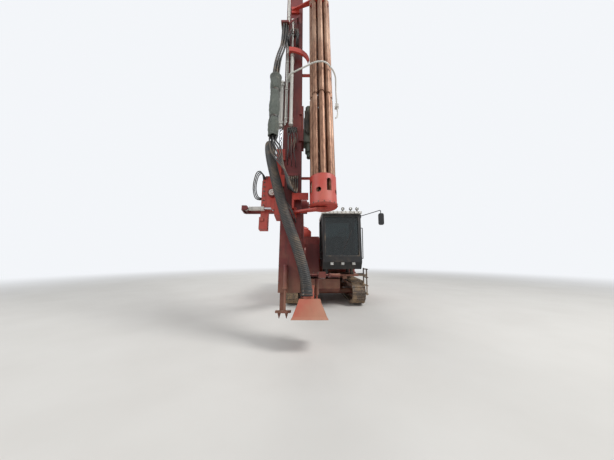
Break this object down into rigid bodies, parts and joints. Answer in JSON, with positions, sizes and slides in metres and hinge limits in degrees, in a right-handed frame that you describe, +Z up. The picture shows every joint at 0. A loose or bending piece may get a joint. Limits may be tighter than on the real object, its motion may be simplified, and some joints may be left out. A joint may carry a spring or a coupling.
{
  "type": "crawler surface drilling rig",
  "caption": "Crawler surface drilling rig: cab, engine canopy and boom on tracks, with a tall drill mast, rock drill, tube carousel and dust hood.",
  "frame": {"origin": "on the ground below the middle of the overall box", "axes": "+Z up, -Y to the front where the mast stands, +X to the operator's left where the cab is"},
  "size_m": [3.513, 7.3602, 9.8531],
  "materials": {
    "red_paint": "faded red-orange machine paint",
    "dark_red_paint": "dark red machine paint, dirty",
    "grey_paint": "dark grey machine paint",
    "black_paint": "black paint",
    "pale_paint": "pale grey paint",
    "green_paint": "grey-green paint",
    "track_steel": "worn dusty steel",
    "rusty_steel": "brown rusty steel",
    "chrome": "polished rod",
    "hose_rubber": "black ribbed hose",
    "rubber": "black rubber",
    "seat_fabric": "dark woven cloth",
    "plastic": "dark moulded plastic",
    "sleeve_cloth": "grey woven sleeve",
    "glass": "tinted glass"
  },
  "bodies": {
    "carrier": {"chassis": "dark_red_paint", "track_frame_left": "dark_red_paint", "track_frame_right": "dark_red_paint", "track_left": "track_steel", "track_right": "track_steel", "deck": "dark_red_paint", "canopy": "red_paint", "engine": "grey_paint", "radiator": "black_paint", "rear_grille": "black_paint", "dust_collector": "red_paint", "oil_tank": "red_paint", "exhaust": "rusty_steel", "handrails": "red_paint", "ladder": "black_paint", "cab_shell": "red_paint", "cab_floor": "rubber", "cab_roof": "pale_paint", "cab_glass": "glass", "cab_lamps": "black_paint", "seat": "seat_fabric", "consoles": "plastic", "mirror": "black_paint", "boom_stand": "dark_red_paint", "suction_hose_rear": "hose_rubber"},
    "cab_door": {"cab_door": "red_paint", "cab_door_glass": "glass"},
    "canopy_door_left": {"canopy_door_left": "red_paint"},
    "canopy_door_right": {"canopy_door_right": "red_paint"},
    "jack_foot": {"jack_foot": "chrome"},
    "swing_rod": {"swing_rod": "chrome"},
    "swing_bracket": {"swing_bracket": "dark_red_paint"},
    "boom": {"boom": "dark_red_paint", "boom_hoses": "rubber"},
    "lift_barrel": {"lift_barrel": "dark_red_paint"},
    "lift_rod": {"lift_rod": "chrome"},
    "tilt_bracket": {"tilt_bracket": "dark_red_paint", "feed_swing_barrel": "pale_paint"},
    "feed_swing_rod": {"feed_swing_rod": "chrome"},
    "feed_holder": {"feed_holder": "red_paint", "extension_rod": "chrome"},
    "feed_beam": {"feed_beam": "dark_red_paint", "extension_barrel": "pale_paint", "carousel_brackets": "red_paint", "centralizer": "dark_red_paint", "suction_hose": "hose_rubber", "feed_cylinder": "pale_paint", "mast_pipes": "pale_paint", "guard_bow": "pale_paint", "hose_sleeve": "sleeve_cloth", "mast_hoses": "rubber"},
    "carousel": {"carousel_frame": "red_paint", "drill_tubes": "rusty_steel"},
    "tube_arms": {"tube_arms": "black_paint"},
    "drill_head": {"carriage": "dark_red_paint", "rock_drill": "green_paint", "drill_hoses": "rubber"},
    "centralizer_jaw": {"centralizer_jaw": "dark_red_paint"},
    "dust_hood": {"dust_hood": "red_paint"}
  },
  "joints": [
    {"name": "boom_swing", "type": "hinge", "parent": "carrier", "child": "swing_bracket", "pos_m": [-0.6465, -0.57989, 1.5], "axis": [0, 0, 1], "range_deg": [-30, 15]},
    {"name": "boom_lift", "type": "hinge", "parent": "swing_bracket", "child": "boom", "pos_m": [-0.6465, -0.85989, 1.6], "axis": [-1, 0, 0], "range_deg": [-10, 30], "deforming": ["suction_hose_rear"]},
    {"name": "feed_tilt", "type": "hinge", "parent": "boom", "child": "tilt_bracket", "pos_m": [-1.1665, -2.17514, 2.72636], "axis": [1, 0, 0], "range_deg": [-78, 26]},
    {"name": "feed_swing", "type": "hinge", "parent": "tilt_bracket", "child": "feed_holder", "pos_m": [-1.1665, -2.94272, 2.92263], "axis": [0, 0.9848, -0.1736], "range_deg": [-20, 20]},
    {"name": "feed_extension", "type": "slide", "parent": "feed_holder", "child": "feed_beam", "axis": [0, -0.1736, -0.9848], "range_m": [-0.5, 0.5]},
    {"name": "head_travel", "type": "slide", "parent": "feed_beam", "child": "drill_head", "axis": [0, 0.1736, 0.9848], "range_m": [-2.05, 4.1]},
    {"name": "carousel_spin", "type": "hinge", "parent": "feed_beam", "child": "carousel", "pos_m": [-0.1365, -3.3777, 2.4713], "axis": [0, 0.1736, 0.9848], "continuous": true},
    {"name": "tube_arm_swing", "type": "hinge", "parent": "feed_beam", "child": "tube_arms", "pos_m": [-0.11391, -2.84108, 3.41242], "axis": [0, 0.1736, 0.9848], "range_deg": [0, 126.78]},
    {"name": "jaw_slide", "type": "slide", "parent": "feed_beam", "child": "centralizer_jaw", "axis": [-1, 0, 0], "range_m": [0, 0.16]},
    {"name": "hood_slide", "type": "slide", "parent": "feed_beam", "child": "dust_hood", "axis": [0, 0.1736, 0.9848], "range_m": [-0.28, 0]},
    {"name": "cab_door_hinge", "type": "hinge", "parent": "carrier", "child": "cab_door", "pos_m": [1.1695, 0.27011, 2], "axis": [0, 0, 1], "range_deg": [0, 95]},
    {"name": "canopy_door_left_hinge", "type": "hinge", "parent": "carrier", "child": "canopy_door_left", "pos_m": [1.2495, 3.53011, 1.6], "axis": [0, 0, 1], "range_deg": [0, 110]},
    {"name": "canopy_door_right_hinge", "type": "hinge", "parent": "carrier", "child": "canopy_door_right", "pos_m": [-0.9825, 3.53011, 1.6], "axis": [0, 0, -1], "range_deg": [0, 110]},
    {"name": "jack_slide", "type": "slide", "parent": "carrier", "child": "jack_foot", "axis": [0, 0, -1], "range_m": [0, 0.3]},
    {"name": "swing_rod_slide", "type": "slide", "parent": "carrier", "child": "swing_rod", "axis": [-0.0147, -0.9999, 0], "range_m": [-0.1261, 0.064]},
    {"name": "lift_barrel_hinge", "type": "hinge", "parent": "swing_bracket", "child": "lift_barrel", "pos_m": [-0.6465, -1.00989, 1.32], "axis": [-1, 0, 0], "range_deg": [-9.3, 26.9]},
    {"name": "lift_rod_slide", "type": "slide", "parent": "lift_barrel", "child": "lift_rod", "axis": [0, -0.7319, 0.6814], "range_m": [-0.0521, 0.1523]},
    {"name": "feed_swing_rod_slide", "type": "slide", "parent": "tilt_bracket", "child": "feed_swing_rod", "axis": [1, 0, 0], "range_m": [-0.1291, 0.1291]}
  ],
  "couplings": [
    {"joint": "swing_rod_slide", "follows": "boom_swing", "m_per_rad": 0.237},
    {"joint": "lift_barrel_hinge", "follows": "boom_lift", "ratio": 0.88},
    {"joint": "lift_rod_slide", "follows": "boom_lift", "m_per_rad": 0.287},
    {"joint": "feed_swing_rod_slide", "follows": "feed_swing", "m_per_rad": -0.364}
  ]
}
